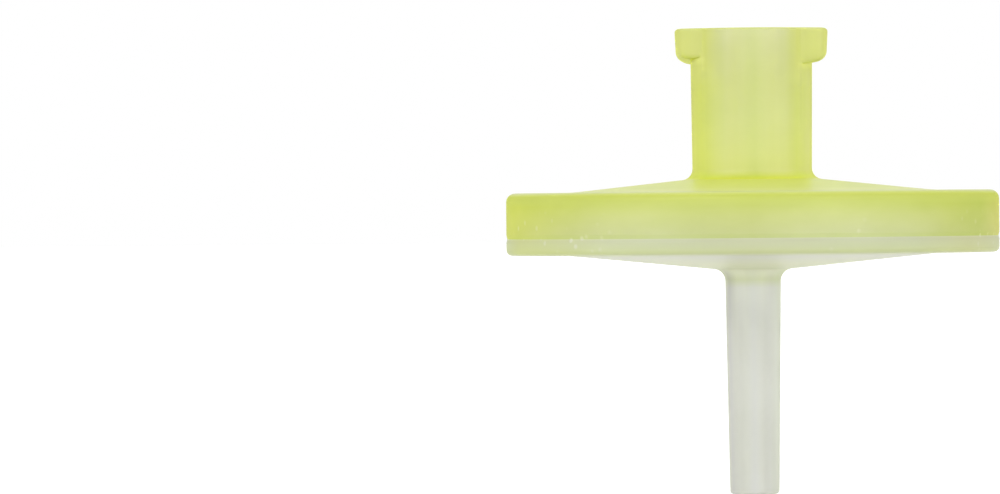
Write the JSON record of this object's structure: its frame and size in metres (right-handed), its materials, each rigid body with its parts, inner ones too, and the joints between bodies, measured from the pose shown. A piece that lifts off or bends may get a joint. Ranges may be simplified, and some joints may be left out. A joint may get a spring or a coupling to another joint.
{
  "type": "syringe filter",
  "caption": "Disc-shaped syringe filter: yellow inlet housing with a lugged luer socket, natural outlet housing with a slim tapered tube, membrane clamped between.",
  "frame": {"origin": "centre of the inlet mouth, on the axis of the luer socket", "axes": "+Z along the axis, out of the inlet mouth; +X through one lug of the luer lock. The filter hangs below the origin, as it does under a syringe."},
  "size_m": [0.025, 0.025, 0.0236],
  "materials": {
    "yellow_polypropylene": "satin, translucent",
    "natural_polypropylene": "satin, translucent",
    "white_membrane": "matte"
  },
  "bodies": {
    "root": {"inlet_housing": "yellow_polypropylene", "membrane": "white_membrane", "outlet_housing": "natural_polypropylene"}
  },
  "joints": []
}
